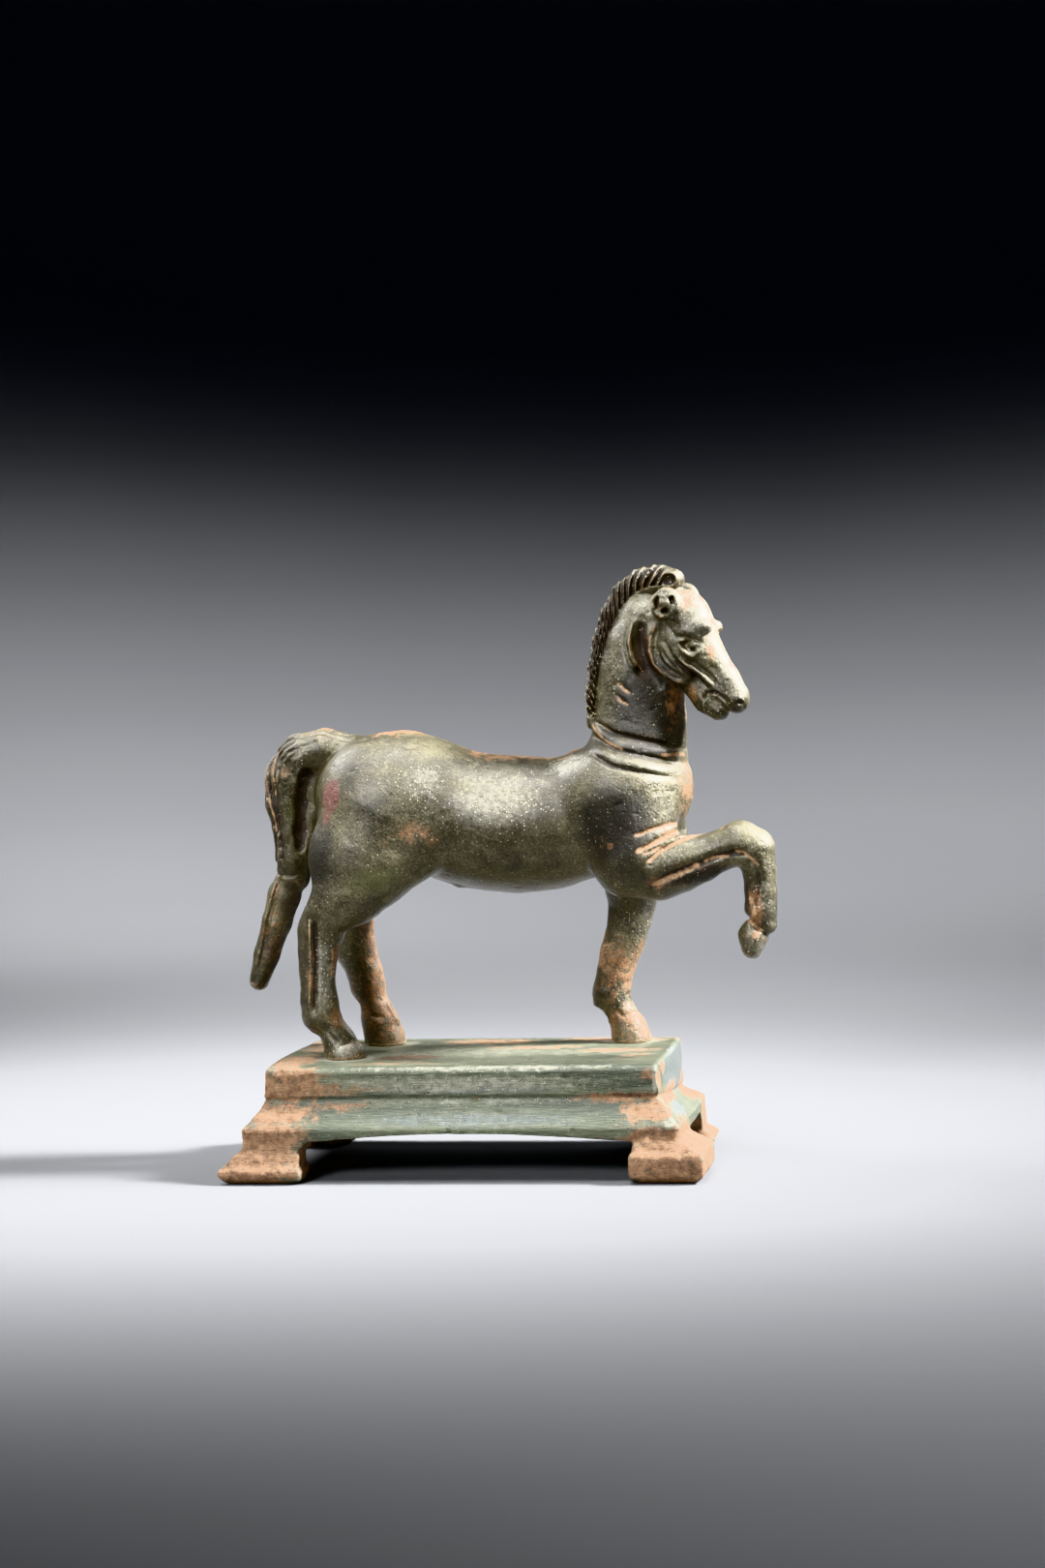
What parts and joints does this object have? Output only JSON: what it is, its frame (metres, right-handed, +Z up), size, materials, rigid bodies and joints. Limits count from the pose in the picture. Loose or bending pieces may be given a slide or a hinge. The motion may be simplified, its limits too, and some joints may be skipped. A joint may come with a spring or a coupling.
{
  "type": "horse figurine",
  "caption": "Small cast bronze horse with a roached mane and one foreleg raised, standing on its stepped, footed rectangular plinth.",
  "frame": {"origin": "middle of the whole object's footprint box, on the floor under the feet", "axes": "+Z up, +X toward the horse's head, -Y toward the side with the raised foreleg, which is the horse's right"},
  "size_m": [0.1094, 0.05, 0.1177],
  "materials": {
    "horse_bronze": "dark olive-green patina, half gloss, tan deposits in the hollows",
    "plinth_bronze": "grey-green patina, brushed along its length, rough tan crust on the feet and ends"
  },
  "bodies": {
    "root": {"horse": "horse_bronze", "plinth": "plinth_bronze"}
  },
  "joints": []
}
